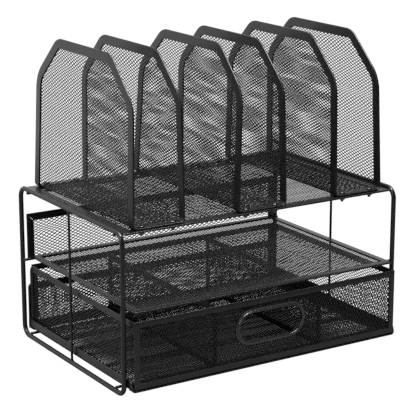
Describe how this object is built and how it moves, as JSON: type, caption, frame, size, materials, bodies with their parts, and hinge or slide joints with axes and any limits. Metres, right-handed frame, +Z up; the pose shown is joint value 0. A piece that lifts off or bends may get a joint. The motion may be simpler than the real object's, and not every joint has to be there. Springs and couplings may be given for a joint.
{
  "type": "desk organizer",
  "caption": "Wire and mesh desk organizer with upright file sections on top, a flat middle tray and a sliding drawer with a hand hole below.",
  "frame": {"origin": "centre of the footprint of the whole organizer, on the desk surface", "axes": "+Z up, -Y towards the drawer front, +X to the right of a person facing the drawer front"},
  "size_m": [0.335, 0.2362, 0.332],
  "materials": {
    "coated_wire": "satin black powder coat on steel wire",
    "coated_mesh": "satin black powder coat on expanded steel mesh",
    "coated_sheet": "satin black powder coat on folded steel strip",
    "fastener_steel": "black oxide"
  },
  "bodies": {
    "frame": {"left_loop": "coated_wire", "right_loop": "coated_wire", "left_stay": "coated_wire", "right_stay": "coated_wire", "base_front_wire": "coated_wire", "base_rear_wire": "coated_wire", "tray_front_wire": "coated_wire", "tray_rear_wire": "coated_wire", "shelf_front_wire": "coated_wire", "shelf_rear_wire": "coated_wire", "base_mesh": "coated_mesh", "base_hem": "coated_sheet", "base_left_flange": "coated_sheet", "base_right_flange": "coated_sheet", "base_back_mesh": "coated_mesh", "base_back_hem": "coated_sheet", "tray_mesh": "coated_mesh", "tray_hem": "coated_sheet", "back_mesh": "coated_mesh", "back_hem": "coated_sheet", "shelf_mesh": "coated_mesh", "shelf_hem": "coated_sheet", "left_sorter_mesh": "coated_mesh", "left_sorter_hem": "coated_sheet", "middle_sorter_mesh": "coated_mesh", "middle_sorter_hem": "coated_sheet", "right_sorter_mesh": "coated_mesh", "right_sorter_hem": "coated_sheet", "sorter_screws": "fastener_steel", "sorter_nuts": "fastener_steel"},
    "drawer": {"drawer_floor_mesh": "coated_mesh", "drawer_floor_hem": "coated_sheet", "drawer_left_mesh": "coated_mesh", "drawer_left_hem": "coated_sheet", "drawer_right_mesh": "coated_mesh", "drawer_right_hem": "coated_sheet", "drawer_rear_mesh": "coated_mesh", "drawer_rear_hem": "coated_sheet", "drawer_front_mesh": "coated_mesh", "drawer_front_hem": "coated_sheet", "handle_ring": "coated_sheet", "left_divider_mesh": "coated_mesh", "left_divider_hem": "coated_sheet", "right_divider_mesh": "coated_mesh", "right_divider_hem": "coated_sheet"}
  },
  "joints": [
    {"name": "drawer_slide", "type": "slide", "parent": "frame", "child": "drawer", "axis": [0, -1, 0], "range_m": [0, 0.18]}
  ]
}
